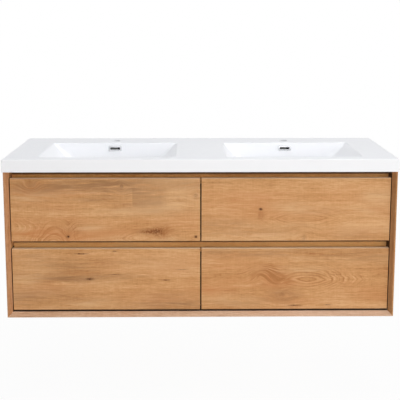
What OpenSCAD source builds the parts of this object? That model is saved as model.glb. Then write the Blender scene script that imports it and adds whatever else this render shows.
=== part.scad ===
// Wall-hung double vanity: a top with two basins bonded under its deck, on an oak cabinet with
// four drawers.
// X runs along the wall, the fronts face -Y and the wall is the plane Y = 0.
// Z = 0 is the height of the upper wall screws. All lengths are in millimetres.

/* [Top] */
// Width of the basin top
top_w = 1500; // [1440:10:1700]
// Depth of the basin top, from the wall to its front face
top_d = 500; // [490:5:540]
// Height of the edge that shows at the front and the ends
top_t = 48; // [42:1:60]
// Thickness of the deck between the hollows of its underside
deck_t = 14; // [12:0.5:20]
// Radius along the upper edges
edge_r = 3; // [1:0.5:5]
// Width of the solid edge at the front and at the wall
edge_land = 20; // [16:1:30]
// Width of the solid edge at the two ends
end_land = 50; // [44:1:60]
// Width of the solid rib over the divider
middle_land = 40; // [20:1:60]

/* [Basins] */
// Width of each basin at its rim
basin_w = 525; // [500:1:550]
// Height from the rim to the basin floor
basin_depth = 105; // [90:1:120]
// Deck left between the two basins
basin_gap = 195; // [170:1:230]
// Deck left in front of the basins
rim_front = 54; // [50:1:60]
// Deck left behind the basins
rim_back = 122; // [120:1:136]
// Corner radius of the rim
rim_r = 10; // [6:1:20]
// Width of the soft edge round the rim
rim_ease = 2; // [1:0.5:3]
// Radius between the walls and the floor
floor_r = 30; // [20:1:40]
// Fall of the floor towards the drain
floor_fall = 8; // [4:1:12]
// Thickness of the basin shell
bowl_wall = 9; // [7:0.5:11]
// Run of the end walls for each unit of their depth
side_slope = 1; // [0.8:0.05:1.1]
// Run of the back wall for each unit of its depth
back_slope = 0.115; // [0.05:0.005:0.2]
// Distance of the drain from the back of the rim
drain_back = 128; // [110:1:150]
// Radius of the drain hole
drain_r = 22.5; // [22:0.5:24]
// Radius of the flat seat round the drain
pad_r = 35; // [33:0.5:38]
// Radius of the tap holes
tap_r = 17.5; // [14:0.5:19]
// Distance of the tap holes from the wall
tap_back = 70; // [60:1:74]

/* [Overflow] */
// Width of the overflow slot
slot_w = 41; // [34:1:44]
// Height of the overflow slot
slot_h = 9; // [7:0.5:11]
// Width of the overflow trim
trim_w = 54; // [50:1:60]
// Height of the overflow trim
trim_h = 20; // [17:1:24]
// Thickness of the trim plate
trim_t = 1.8; // [1.2:0.1:2.5]
// Distance of the slot below the rim
overflow_drop = 23.5; // [20:0.5:30]
// Length of the trim's sleeve
sleeve_l = 6; // [4:0.5:8]
// Width of the overflow duct
duct_w = 44; // [40:1:50]
// Depth of the overflow duct
duct_d = 12; // [8:0.5:14]
// Wall of the overflow duct
duct_wall = 7; // [5:0.5:8]

/* [Cabinet] */
// Overhang of the top at each end
side_overhang = 4; // [0:1:10]
// Overhang of the top at the front
front_overhang = 5; // [0:1:8]
// Thickness of the cabinet panels
panel_t = 18; // [16:0.5:22]
// Flat margin of the front frame
flat_w = 5; // [3:0.5:8]
// Depth of the bevel that leads in to the fronts
bevel_d = 15; // [12:0.5:17]

/* [Fronts] */
// Height of each drawer front
front_h = 246; // [230:1:270]
// Thickness of the drawer fronts
front_t = 18; // [16:0.5:20]
// Radius along the edges of the fronts
front_ease = 1; // [0.5:0.25:2]
// Gap between a front and the side panel
side_gap = 3; // [2:0.5:5]
// Gap between the left and the right fronts
centre_gap = 4; // [2:0.5:5]
// Gap under the lower fronts
bottom_gap = 5; // [3:0.5:8]
// Grip gap between the lower and the upper fronts
middle_grip = 29; // [24:1:36]
// Grip gap between the upper fronts and the top
top_grip = 28; // [24:1:36]

/* [Rails] */
// Room for fingers between the fronts and the front rails
finger_room = 35; // [32:1:38]
// Thickness of the front rails
rail_t = 15; // [12:0.5:16]
// Height of the front rails
rail_h = 60; // [50:1:70]
// Lap of the middle rail behind the upper fronts
rail_lap = 2; // [0:0.5:6]
// Gap between a basin and the upper rail
bowl_gap = 1.5; // [1:0.25:3]
// Thickness of the back rails
back_rail_t = 18; // [16:0.5:22]
// Height of the back rails
back_rail_h = 80; // [70:1:100]
// Radius of the wall screw holes
fixing_r = 4.5; // [3:0.25:6]
// Distance of the wall screw holes from the side panels
fixing_inset = 88; // [50:1:120]

/* [Drawer boxes] */
// Thickness of the drawer box boards
board_t = 15; // [12:0.5:18]
// Thickness of the drawer bottoms
bottom_t = 8; // [6:0.5:12]
// Depth of the grooves that hold the bottoms
groove_d = 6; // [4:0.5:8]
// Height of the bottoms above the lower edge of the boards
bottom_rise = 10; // [8:0.5:16]
// Clear height above and below each box
box_gap = 10; // [6:0.5:14]
// Room behind the boxes
back_room = 25; // [22:0.5:40]
// Width of the recess for the drain pipes in the upper boxes
recess_w = 200; // [160:1:240]
// Distance from the drain to the front of the recess
recess_room = 80; // [60:1:90]

/* [Runners] */
// Thickness of a whole runner
runner_w = 12.7; // [12.5:0.1:14]
// Height of a runner
runner_h = 45; // [42:0.5:50]
// Sheet thickness of the runners
sheet_t = 1.2; // [1:0.1:1.4]
// Height of the bearing rows
bearing_h = 3; // [2.5:0.1:3.5]
// Lip that holds the bearing rows
lip_h = 2; // [1.5:0.1:2.2]
// Height of the runners above the lower edge of the boxes
runner_rise = 60; // [50:1:80]
// Space behind the runners
runner_end = 22; // [22:0.5:30]
// Running clearance
play = 0.3; // [0.2:0.05:0.35]

/* [Wastes] */
// Radius of the waste flange
flange_r = 31; // [30:0.5:33]
// Thickness of the waste flange
flange_t = 2.5; // [2:0.25:4]
// Outer radius of the threaded body
thread_r = 21.5; // [20:0.25:21.75]
// Outer radius of the tail pipe
tail_r = 16; // [14:0.5:18]
// Length of the tail pipe
tail_l = 60; // [40:1:80]
// Wall of the waste body and the tail pipe
pipe_wall = 2; // [1.5:0.25:2.5]
// Thickness of the rubber seal
seal_t = 4; // [3:0.5:5]
// Radius of the back nut over its corners
nut_r = 32; // [30:0.5:36]
// Height of the back nut
nut_t = 12; // [8:0.5:16]
// Radius of the stopper
stopper_r = 29; // [26:0.5:30]
// Height of the stopper's dome
stopper_t = 5; // [3:0.5:7]
// Radius of the stopper's stem
stem_r = 4; // [3:0.25:5]
// Length of the stem below its guide
stem_below = 10; // [8:1:16]

/* [Fixings] */
// Size of the plates round the wall screws
plate_w = 60; // [50:1:70]
// Thickness of those plates
plate_t = 3; // [2:0.25:4]
// Length of the angle brackets under the top
bracket_l = 40; // [30:1:60]
// Width of each leg of the angle brackets
bracket_leg = 22; // [16:1:24]
// Thickness of the angle brackets
bracket_t = 2.5; // [2:0.25:4]
// Distance of the brackets from the front and the back of the cabinet
bracket_inset = 115; // [100:1:140]

/* [Hidden] */
$fn = 64;

LEFT = -1;
RIGHT = 1;
LOWER = 0;
UPPER = 1;
// Spare length that lets a cut run clear of a face
over = 1;

// Heights, from the underside of the cabinet to the rim of the basins
cab_h = panel_t + bottom_gap + 2 * front_h + middle_grip + top_grip;
under_z = back_rail_h / 2 - cab_h;
cab_top = under_z + cab_h;
rim_z = cab_top + top_t;
deck_under = rim_z - deck_t;
floor_z = under_z + panel_t;

// Widths
cab_x = top_w / 2 - side_overhang;
inner_x = cab_x - panel_t;
wall_x = panel_t / 2;
front_x0 = centre_gap / 2;
front_x1 = inner_x - side_gap;
box_x0 = wall_x + runner_w;
box_x1 = inner_x - runner_w;
basin_x = (basin_gap + basin_w) / 2;
fixing_x = inner_x - fixing_inset;

// Depths
cab_front = front_overhang - top_d;
face_y = cab_front + bevel_d;
front_back = face_y + front_t;
rail_y0 = front_back + finger_room;
rail_y1 = rail_y0 + rail_t;
box_back = -back_room;
basin_y0 = rim_front - top_d;
basin_y1 = -rim_back;
drain_y = basin_y1 - drain_back;

// The front wall of a basin leans back far enough to pass behind the upper rail
lean_allowance = 1.45;
front_slope = (rail_y1 + bowl_gap + lean_allowance * bowl_wall - basin_y0) / top_t;
back_angle = atan(back_slope);
function lean(slope) = sqrt(1 + slope * slope);

// Height of the stopper's edge
cap_edge = 1.5;

// Heights under the basins
duct_cover = 6;
pad_z = rim_z - basin_depth - floor_fall;
duct_top = pad_z - duct_cover;
duct_floor = duct_top - duct_d;
boss_z = duct_floor - duct_wall;
bowl_under = pad_z - bowl_wall;

// Boss round the drain hole, a little wider than the seat above it
boss_land = 2;
boss_r = pad_r + boss_land;

// Waste body: spare thread below its nut, and bars below the overflow windows
thread_spare = 12;
guide_drop = 6;
seal_inset = 2;
thread_z = boss_z - seal_t - nut_t - thread_spare;
tail_z = thread_z - tail_l;
guide_z = duct_floor - guide_drop;

// Overflow, measured from the slot's centre on the back wall
slot_y = basin_y1 - back_slope * overflow_drop;
slot_z = rim_z - overflow_drop;
sleeve_t = 1.2;
trim_r = 2;
duct_set = 4;
duct_y0 = basin_y1 + duct_set;
duct_y1 = duct_y0 + duct_d;
duct_head = slot_z + slot_h / 2 + sleeve_t + play;

// Drawer levels
function front_z(level) = floor_z + bottom_gap + level * (front_h + middle_grip);
middle_rail_z = front_z(UPPER) + rail_lap - rail_h;
function box_z0(level) = box_gap + (level == UPPER ? middle_rail_z + rail_h : floor_z);
function box_z1(level) = (level == UPPER ? bowl_under : middle_rail_z) - box_gap;
function runner_z(level) = box_z0(level) + runner_rise;
function bottom_z(level) = box_z0(level) + bottom_rise;

// Recess for the drain pipes
recess_x0 = basin_x - recess_w / 2;
recess_x1 = basin_x + recess_w / 2;
recess_y = drain_y - recess_room;

// Runner sections, from the fixed wall towards the drawer: the room between their webs, the room
// at the mouth of each channel, and how far the outer one stays clear of the drawer
web_gap = 2;
middle_mouth = 0.5;
inner_mouth = 1.6;
outer_mouth = 3.2;
outer_w = runner_w - outer_mouth;
middle_x = sheet_t + web_gap;
middle_w = runner_w - sheet_t - middle_x - middle_mouth;
middle_h = runner_h - 2 * (sheet_t + bearing_h);
inner_w = runner_w - middle_x - sheet_t - inner_mouth;
inner_h = middle_h - 2 * (sheet_t + bearing_h);
runner_y0 = rail_y1;
runner_y1 = -runner_end;

oak = [0.66, 0.55, 0.42];
oak_inside = [0.78, 0.69, 0.55];
moulded_white = [0.94, 0.95, 0.96];
bright_metal = [0.8, 0.81, 0.83];
zinc = [0.66, 0.67, 0.69];
rubber = [0.13, 0.13, 0.14];

// ---- Helpers ----

module block(low, high) {
    translate(low) cube(high - low);
}

// Extrudes a section drawn in X and Z from y0 to y1
module along_y(y0, y1) {
    translate([0, y1, 0]) rotate([90, 0, 0]) linear_extrude(y1 - y0) children();
}

// Extrudes a section drawn in Y and Z from x0 to x1
module along_x(x0, x1) {
    translate([x0, 0, 0]) rotate([90, 0, 90]) linear_extrude(x1 - x0) children();
}

// Left pieces are the mirror image of right ones
module on_side(side) {
    mirror([side == LEFT ? 1 : 0, 0, 0]) children();
}

// Rectangle from [0, 0] to size with round corners where round_low or round_high asks for them
module eased_rect(size, r, round_low, round_high) {
    difference() {
        square(size);
        for (x = [0, size[0]], end = [0, 1]) {
            if (end == 0 ? round_low : round_high) {
                corner_cut(x, end * size[1], r, x == 0 ? 1 : -1, end == 0 ? 1 : -1);
            }
        }
    }
}

// What a round corner takes off a square one at x, y, with the solid towards to_x, to_y
module corner_cut(x, y, r, to_x, to_y) {
    side = r + over;
    translate([x + to_x * r, y + to_y * r]) difference() {
        translate([-to_x * side / 2, -to_y * side / 2]) square(side, center = true);
        circle(r);
    }
}

// ---- Basin top ----

// Four discs at the corners of a basin's walls, at a depth below the rim.
// The walls stand out from the water by grow.
module wall_corners(grow, depth, h) {
    r = rim_r + grow;
    x = basin_w / 2 + lean(side_slope) * grow - side_slope * depth - r;
    y0 = basin_y0 - lean(front_slope) * grow + front_slope * depth + r;
    y1 = basin_y1 + lean(back_slope) * grow - back_slope * depth - r;
    for (sx = [-x, x], y = [y0, y1])
        translate([sx, y, rim_z - depth]) cylinder(r = r, h = h, $fn = 32);
}

// One basin as a solid: the water's own form, or the shell's outside when grown by its wall.
// Balls round the foot of the walls, and a low disc draws the floor down to the drain.
module bowl_form(grow, rim_depth) {
    foot = basin_depth - floor_r;
    foot_x = basin_w / 2 - side_slope * foot - lean(side_slope) * floor_r;
    foot_y0 = basin_y0 + front_slope * foot + lean(front_slope) * floor_r;
    foot_y1 = basin_y1 - back_slope * foot - lean(back_slope) * floor_r;
    hull() {
        wall_corners(grow, rim_depth, over);
        for (x = [-foot_x, foot_x], y = [foot_y0, foot_y1])
            translate([x, y, rim_z - foot]) sphere(floor_r + grow, $fn = 32);
        translate([0, drain_y, pad_z - grow]) cylinder(r = pad_r + grow, h = over, $fn = 32);
    }
}

// Soft edge round the rim
module rim_form() {
    hull() {
        wall_corners(rim_ease, 0, over);
        wall_corners(0, rim_ease, over / 10);
    }
}

// Moves to the overflow slot's centre, with -Y pointing out of the back wall
module at_overflow() {
    translate([0, slot_y, slot_z]) rotate([-back_angle, 0, 0]) children();
}

module slab() {
    intersection() {
        along_y(-top_d, 0) translate([-top_w / 2, cab_top])
            eased_rect([top_w, top_t], edge_r, false, true);
        translate([-top_w / 2, -top_d, cab_top]) linear_extrude(top_t)
            eased_rect([top_w, top_d], edge_r, true, false);
        along_x(-top_w / 2, top_w / 2) difference() {
            translate([-top_d, cab_top]) square([top_d, top_t]);
            corner_cut(-top_d, rim_z, edge_r, 1, -1);
        }
    }
}

// Shell under one basin, with the duct that leads the overflow to the drain
module bowl_shell() {
    duct_x = duct_w / 2 + duct_wall;
    bowl_form(bowl_wall, deck_t);
    block([-duct_x, duct_y0 - duct_d, boss_z], [duct_x, duct_y1 + duct_wall, deck_under]);
    block([-duct_x, drain_y, boss_z], [duct_x, duct_y1, bowl_under + bowl_wall / 2]);
    translate([0, drain_y, boss_z]) cylinder(r = boss_r, h = pad_z - boss_z);
}

// Everything that is cut out of one shell
module bowl_cuts() {
    bowl_form(0, 0);
    translate([0, drain_y, boss_z - over]) cylinder(r = drain_r, h = pad_z - boss_z + 2 * over);
    block([-duct_w / 2, duct_y0, duct_floor], [duct_w / 2, duct_y1, duct_head]);
    block([-duct_w / 2, drain_y, duct_floor], [duct_w / 2, duct_y1, duct_top]);
    at_overflow() sleeve_block(play, -over, duct_y0 - slot_y + duct_d / 2);
}

// The trim's sleeve as a solid block, grown by its clearance
module sleeve_block(grow, y0, y1) {
    x = slot_w / 2 + sleeve_t + grow;
    z = slot_h / 2 + sleeve_t + grow;
    block([-x, y0, -z], [x, y1, z]);
}

// The deck with its edges turned down, open over the basins
module sink_top() {
    color(moulded_white) difference() {
        slab();
        for (side = [LEFT, RIGHT]) on_side(side)
            block([middle_land / 2, edge_land - top_d, cab_top - over],
                  [top_w / 2 - end_land, -edge_land, deck_under]);
        for (x = [-basin_x, basin_x]) translate([x, 0, 0]) {
            bowl_form(0, 0);
            rim_form();
            translate([0, -tap_back, deck_under - over]) cylinder(r = tap_r, h = deck_t + 2 * over);
        }
    }
}

// A basin is bonded to the deck's underside, and its walls go on where the deck's edge ends
module basin(side) {
    color(moulded_white) translate([side * basin_x, 0, 0]) difference() {
        intersection() {
            bowl_shell();
            translate([-basin_w, -top_d, boss_z]) cube([2 * basin_w, top_d, deck_under - boss_z]);
        }
        bowl_cuts();
    }
}

module overflow_trim(side) {
    color(bright_metal) translate([side * basin_x, 0, 0]) at_overflow() difference() {
        union() {
            along_y(-trim_t - play, -play) translate([-trim_w / 2, -trim_h / 2])
                eased_rect([trim_w, trim_h], trim_r, true, true);
            sleeve_block(0, -play - trim_t / 2, sleeve_l);
        }
        block([-slot_w / 2, -trim_t - play - over, -slot_h / 2],
              [slot_w / 2, sleeve_l + over, slot_h / 2]);
    }
}

// ---- Cabinet ----

module side_panel(side) {
    color(oak) on_side(side) difference() {
        along_y(cab_front, 0)
            polygon([[cab_x, under_z], [cab_x, cab_top], [inner_x, cab_top], [inner_x, floor_z]]);
        translate([cab_x, 0, under_z - over]) mirror([1, 0, 0])
            linear_extrude(cab_h + 2 * over) bevel_wedge();
    }
}

// Section of the cut that bevels a panel's front edge: X runs inwards from the panel's outer face
module bevel_wedge() {
    run = (face_y - cab_front) / (panel_t - flat_w);
    polygon([[flat_w, cab_front], [flat_w, cab_front - over],
             [panel_t + over, cab_front - over], [panel_t + over, face_y + run * over]]);
}

module bottom_panel() {
    color(oak) difference() {
        along_y(cab_front, 0)
            polygon([[-cab_x, under_z], [cab_x, under_z], [inner_x, floor_z], [-inner_x, floor_z]]);
        translate([0, 0, under_z]) rotate([0, -90, 0]) translate([0, 0, -cab_x - over])
            linear_extrude(2 * (cab_x + over)) bevel_wedge();
    }
}

module center_divider() {
    color(oak_inside) block([-wall_x, rail_y1, floor_z], [wall_x, -back_rail_t, cab_top]);
}

module front_rail(z) {
    color(oak) block([-inner_x, rail_y0, z], [inner_x, rail_y1, z + rail_h]);
}

module back_rail(z) {
    color(oak_inside) difference() {
        block([-inner_x, -back_rail_t, z], [inner_x, 0, z + back_rail_h]);
        for (x = [-fixing_x, fixing_x]) fixing_hole(x, z + back_rail_h / 2);
    }
}

module fixing_hole(x, z) {
    translate([x, over, z]) rotate([90, 0, 0])
        cylinder(r = fixing_r, h = back_rail_t + plate_t + 2 * over);
}

module fixing_plates() {
    color(zinc) for (x = [-fixing_x, fixing_x], z = [0, floor_z + back_rail_h / 2]) difference() {
        block([x - plate_w / 2, -back_rail_t - plate_t, z - plate_w / 2],
              [x + plate_w / 2, -back_rail_t, z + plate_w / 2]);
        fixing_hole(x, z);
    }
}

// Angle brackets that hold the top's end lands to the side panels
module top_brackets() {
    color(zinc) for (side = [LEFT, RIGHT], y = [cab_front + bracket_inset, -bracket_inset])
        on_side(side) along_y(y - bracket_l / 2, y + bracket_l / 2) translate([inner_x, cab_top])
            difference() {
                translate([-bracket_leg, -bracket_leg]) square(bracket_leg);
                translate([-bracket_leg - bracket_t, -bracket_leg - bracket_t]) square(bracket_leg);
            }
}

// ---- Wastes ----

module waste_body(side) {
    color(bright_metal) translate([side * basin_x, drain_y, 0]) {
        difference() {
            union() {
                translate([0, 0, pad_z]) cylinder(r = flange_r, h = flange_t);
                translate([0, 0, thread_z]) cylinder(r = thread_r, h = pad_z - thread_z);
                translate([0, 0, tail_z]) cylinder(r = tail_r, h = tail_l);
            }
            translate([0, 0, thread_z + pipe_wall])
                cylinder(r = thread_r - pipe_wall, h = pad_z + flange_t - thread_z);
            translate([0, 0, tail_z - over])
                cylinder(r = tail_r - pipe_wall, h = tail_l + pipe_wall + 2 * over);
            overflow_port();
        }
        stem_guide();
    }
}

// Windows that let the overflow into the waste body, level with the duct
module overflow_port() {
    sill = 1;
    for (turn = [0, 90]) rotate([0, 0, turn])
        block([-thread_r / 2, -thread_r - over, duct_floor + sill],
              [thread_r / 2, thread_r + over, duct_top - sill]);
}

// Crossed bars below the windows, with a hub that guides the stopper's stem
module stem_guide() {
    hub_r = stem_r + play + pipe_wall;
    hub_h = 8;
    bar_l = thread_r - pipe_wall * 0.4;
    bar_h = 3;
    first_turn = 40;
    difference() {
        union() {
            translate([0, 0, guide_z]) cylinder(r = hub_r, h = hub_h);
            for (turn = [first_turn, first_turn + 90]) rotate([0, 0, turn])
                block([-bar_l, -pipe_wall / 2, guide_z], [bar_l, pipe_wall / 2, guide_z + bar_h]);
        }
        translate([0, 0, guide_z - over]) cylinder(r = stem_r + play, h = hub_h + 2 * over);
    }
}

module waste_seals() {
    seal_r = nut_r - seal_inset;
    color(rubber) for (x = [-basin_x, basin_x])
        translate([x, drain_y, boss_z - seal_t]) difference() {
            cylinder(r = seal_r, h = seal_t);
            translate([0, 0, -over]) cylinder(r = thread_r + play, h = seal_t + 2 * over);
        }
}

module waste_backnuts() {
    color(zinc) for (x = [-basin_x, basin_x])
        translate([x, drain_y, boss_z - seal_t - nut_t]) difference() {
            cylinder(r = nut_r, h = nut_t, $fn = 6);
            translate([0, 0, -over]) cylinder(r = thread_r + play, h = nut_t + 2 * over);
        }
}

// Domed cap on its stem, lying on the flange
module waste_stopper(side) {
    cap_z = pad_z + flange_t + play;
    dome_h = stopper_t - cap_edge;
    dome_r = (stopper_r * stopper_r + dome_h * dome_h) / (2 * dome_h);
    color(bright_metal) translate([side * basin_x, drain_y, 0]) {
        rotate_extrude() intersection() {
            translate([0, cap_z + stopper_t - dome_r]) circle(dome_r, $fn = 256);
            translate([0, cap_z]) square([stopper_r, stopper_t]);
        }
        translate([0, 0, guide_z - stem_below]) cylinder(r = stem_r, h = cap_z - guide_z + stem_below);
    }
}

// ---- Runners ----

// Rolled section: its web stands on Y, open towards +X, with lips turned in
module channel(w, h, lip) {
    difference() {
        translate([0, -h / 2]) square([w, h]);
        translate([sheet_t, sheet_t - h / 2]) square([w - (lip > 0 ? 2 : 0) * sheet_t, h - 2 * sheet_t]);
        translate([sheet_t, sheet_t + lip - h / 2]) square([w, h - 2 * (sheet_t + lip)]);
    }
}

// The two runners of a drawer, one on the divider and one on the side panel
module runner_pair(level, side) {
    on_side(side) {
        translate([wall_x, 0, runner_z(level)]) along_y(runner_y0, runner_y1) children();
        translate([inner_x, 0, runner_z(level)]) mirror([1, 0, 0])
            along_y(runner_y0, runner_y1) children();
    }
}

module runner_outer(level, side) {
    color(zinc) runner_pair(level, side) channel(outer_w, runner_h, lip_h);
}

// The middle member carries the bearing rows on both faces of its flanges
module runner_middle(level, side) {
    row_x0 = middle_x + sheet_t;
    row_x1 = outer_w - sheet_t - play;
    row_h = bearing_h - play;
    color(zinc) runner_pair(level, side) {
        translate([middle_x, 0]) channel(middle_w, middle_h, 0);
        for (up = [0, 1]) mirror([0, up]) {
            translate([row_x0, middle_h / 2]) square([row_x1 - row_x0, row_h]);
            translate([row_x1, middle_h / 2 - sheet_t - row_h])
                square([middle_x + middle_w - row_x1, row_h]);
        }
    }
}

module runner_inner(level, side) {
    color(zinc) runner_pair(level, side)
        translate([runner_w, 0]) mirror([1, 0]) channel(inner_w, inner_h, 0);
}

// ---- Drawers ----

module drawer_front(level, side) {
    w = front_x1 - front_x0;
    color(oak) on_side(side) intersection() {
        translate([front_x0, face_y, front_z(level)]) linear_extrude(front_h)
            eased_rect([w, front_t], front_ease, true, false);
        along_x(front_x0, front_x1) difference() {
            translate([face_y, front_z(level)]) square([front_t, front_h]);
            corner_cut(face_y, front_z(level), front_ease, 1, 1);
            corner_cut(face_y, front_z(level) + front_h, front_ease, 1, -1);
        }
    }
}

// A side board with the groove for the bottom in its inner face
module box_side(level, x0, groove_x) {
    color(oak_inside) difference() {
        block([x0, front_back, box_z0(level)], [x0 + board_t, box_back, box_z1(level)]);
        block([groove_x, front_back - over, bottom_z(level)],
              [groove_x + groove_d + over, box_back + over, bottom_z(level) + bottom_t]);
    }
}

module drawer_outer_side(level, side) {
    on_side(side) box_side(level, box_x1 - board_t, box_x1 - board_t - over);
}

module drawer_inner_side(level, side) {
    on_side(side) box_side(level, box_x0, box_x0 + board_t - groove_d);
}

// The back stands on the bottom; in an upper box it leaves the recess open
module drawer_back(level, side) {
    z0 = bottom_z(level) + bottom_t;
    color(oak_inside) on_side(side) difference() {
        block([box_x0 + board_t, box_back - board_t, z0],
              [box_x1 - board_t, box_back, box_z1(level)]);
        if (level == UPPER)
            block([recess_x0 - board_t, box_back - board_t - over, z0 - over],
                  [recess_x1 + board_t, box_back + over, box_z1(level) + over]);
    }
}

module drawer_bottom(level, side) {
    z = bottom_z(level);
    color(oak_inside) on_side(side) difference() {
        block([box_x0 + board_t - groove_d, front_back, z],
              [box_x1 - board_t + groove_d, box_back, z + bottom_t]);
        if (level == UPPER)
            block([recess_x0, recess_y, z - over], [recess_x1, box_back + over, z + bottom_t + over]);
    }
}

// Three walls that keep the contents of an upper drawer off the drain pipes
module pipe_surround(side) {
    z0 = bottom_z(UPPER) + bottom_t;
    color(oak_inside) on_side(side) difference() {
        block([recess_x0 - board_t, recess_y - board_t, z0],
              [recess_x1 + board_t, box_back, box_z1(UPPER)]);
        block([recess_x0, recess_y, z0 - over], [recess_x1, box_back + over, box_z1(UPPER) + over]);
    }
}

sink_top();
basin(LEFT);  // basin_left
basin(RIGHT);  // basin_right
overflow_trim(LEFT);  // overflow_trim_left
overflow_trim(RIGHT);  // overflow_trim_right
side_panel(LEFT);  // side_panel_left
side_panel(RIGHT);  // side_panel_right
bottom_panel();
center_divider();
front_rail(cab_top - rail_h);  // front_rail_upper
front_rail(middle_rail_z);  // front_rail_middle
back_rail(-back_rail_h / 2);  // hanging_rail
back_rail(floor_z);  // lower_back_rail
fixing_plates();
top_brackets();
waste_body(LEFT);  // waste_body_left
waste_body(RIGHT);  // waste_body_right
waste_seals();
waste_backnuts();
waste_stopper(LEFT);  // waste_stopper_left
waste_stopper(RIGHT);  // waste_stopper_right
runner_outer(UPPER, LEFT);  // runner_outer_upper_left
runner_outer(UPPER, RIGHT);  // runner_outer_upper_right
runner_outer(LOWER, LEFT);  // runner_outer_lower_left
runner_outer(LOWER, RIGHT);  // runner_outer_lower_right
runner_middle(UPPER, LEFT);  // runner_middle_upper_left
runner_middle(UPPER, RIGHT);  // runner_middle_upper_right
runner_middle(LOWER, LEFT);  // runner_middle_lower_left
runner_middle(LOWER, RIGHT);  // runner_middle_lower_right
runner_inner(UPPER, LEFT);  // runner_inner_upper_left
runner_inner(UPPER, RIGHT);  // runner_inner_upper_right
runner_inner(LOWER, LEFT);  // runner_inner_lower_left
runner_inner(LOWER, RIGHT);  // runner_inner_lower_right
drawer_front(UPPER, LEFT);  // drawer_front_upper_left
drawer_front(UPPER, RIGHT);  // drawer_front_upper_right
drawer_front(LOWER, LEFT);  // drawer_front_lower_left
drawer_front(LOWER, RIGHT);  // drawer_front_lower_right
drawer_outer_side(UPPER, LEFT);  // drawer_outer_side_upper_left
drawer_outer_side(UPPER, RIGHT);  // drawer_outer_side_upper_right
drawer_outer_side(LOWER, LEFT);  // drawer_outer_side_lower_left
drawer_outer_side(LOWER, RIGHT);  // drawer_outer_side_lower_right
drawer_inner_side(UPPER, LEFT);  // drawer_inner_side_upper_left
drawer_inner_side(UPPER, RIGHT);  // drawer_inner_side_upper_right
drawer_inner_side(LOWER, LEFT);  // drawer_inner_side_lower_left
drawer_inner_side(LOWER, RIGHT);  // drawer_inner_side_lower_right
drawer_back(UPPER, LEFT);  // drawer_back_upper_left
drawer_back(UPPER, RIGHT);  // drawer_back_upper_right
drawer_back(LOWER, LEFT);  // drawer_back_lower_left
drawer_back(LOWER, RIGHT);  // drawer_back_lower_right
drawer_bottom(UPPER, LEFT);  // drawer_bottom_upper_left
drawer_bottom(UPPER, RIGHT);  // drawer_bottom_upper_right
drawer_bottom(LOWER, LEFT);  // drawer_bottom_lower_left
drawer_bottom(LOWER, RIGHT);  // drawer_bottom_lower_right
pipe_surround(LEFT);  // pipe_surround_left
pipe_surround(RIGHT);  // pipe_surround_right
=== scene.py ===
import math

import bpy
from mathutils import Matrix, Vector


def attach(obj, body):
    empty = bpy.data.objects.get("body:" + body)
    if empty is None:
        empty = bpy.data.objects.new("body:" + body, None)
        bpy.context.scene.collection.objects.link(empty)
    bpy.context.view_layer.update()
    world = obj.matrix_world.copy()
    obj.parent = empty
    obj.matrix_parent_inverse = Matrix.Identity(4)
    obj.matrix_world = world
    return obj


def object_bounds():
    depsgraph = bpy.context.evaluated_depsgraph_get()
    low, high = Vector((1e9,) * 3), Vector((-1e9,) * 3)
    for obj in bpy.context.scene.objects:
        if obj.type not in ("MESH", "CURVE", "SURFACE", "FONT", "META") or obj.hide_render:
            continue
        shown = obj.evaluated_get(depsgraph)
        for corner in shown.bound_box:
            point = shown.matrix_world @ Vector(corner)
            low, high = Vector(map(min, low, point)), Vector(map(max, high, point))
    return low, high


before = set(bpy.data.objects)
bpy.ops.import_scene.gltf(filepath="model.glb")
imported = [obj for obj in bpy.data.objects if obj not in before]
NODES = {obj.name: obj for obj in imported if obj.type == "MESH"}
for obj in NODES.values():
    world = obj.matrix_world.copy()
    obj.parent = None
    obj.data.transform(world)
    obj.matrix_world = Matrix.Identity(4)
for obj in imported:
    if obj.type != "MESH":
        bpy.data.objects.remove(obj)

# Looks of the floating vanity's solids, the small pieces they leave out, and the studio with lamps and camera

CAD_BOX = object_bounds()


# ---- Places from the CAD: metres, x to the right, y to the wall, z up from the middle of the hanging rail ----

# Drawer fronts: their top faces, and the grip gap between the upper and the lower ones
FRONT_HEIGHT = 0.246
FRONT_TOPS = {"upper": 0.012, "lower": -0.263}
GRIP_MIDDLE, GRIP_HALF = -0.2485, 0.0145

# Strips on the fronts: a painted highlight along the top, and painted shade along the foot and where two meet
HIGHLIGHT_STRIP, MEETING_SHADE_STRIP = 0.0016, 0.0027
FOOT_SHADE_STRIPS = {"upper": 0.0010, "lower": 0.0030}
# Heights above which the front rails get painted shadow
RAIL_SHADOW_FROM = {"upper": 0.0148, "middle": -0.2560}

# Limits that take in the outer panels' faces beside the fronts, and the bevel in front of these, where shade and
# light are painted
BOTTOM_PANEL_TOP = -0.5145
SIDE_PANEL_INSIDE = 0.7285
SIDE_PANEL_MARGIN = 0.7407
BEVEL_BACK, FRONT_RAIL_FACE, DIVIDER_EDGE = -0.4797, -0.4275, -0.4115

# Limits that take in the apron of the top, and the basins below their rim, which get painted light
APRON_FACE = -0.4985
BASIN_RIM, BASINS_FRONT, BASINS_BACK, BASINS_END = 0.0872, -0.47, -0.10, 0.66

# Screw heads' radius and height
BRACKET_SCREW, WALL_PLATE_SCREW, RUNNER_SCREW = (0.0036, 0.0020), (0.0034, 0.0018), (0.0034, 0.0016)

# Screws of the brackets under the top: pairs on the leg at the side panel and on the arm under the top
BRACKETS_Y = (-0.380, -0.115)
BRACKET_PAIR = (-0.011, 0.011)
BRACKET_LEG_X, BRACKET_LEG_SCREW_Z = 0.7255, 0.026
BRACKET_ARM_SCREW_X, BRACKET_ARM_Z = 0.7150, 0.0375

# Screws at the corners of the steel plates on the back rails
WALL_PLATE_X, WALL_PLATE_FACE, WALL_PLATES_Z = 0.640, -0.021, (0.0, -0.474)
WALL_PLATE_PAIR = (-0.022, 0.022)

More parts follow.
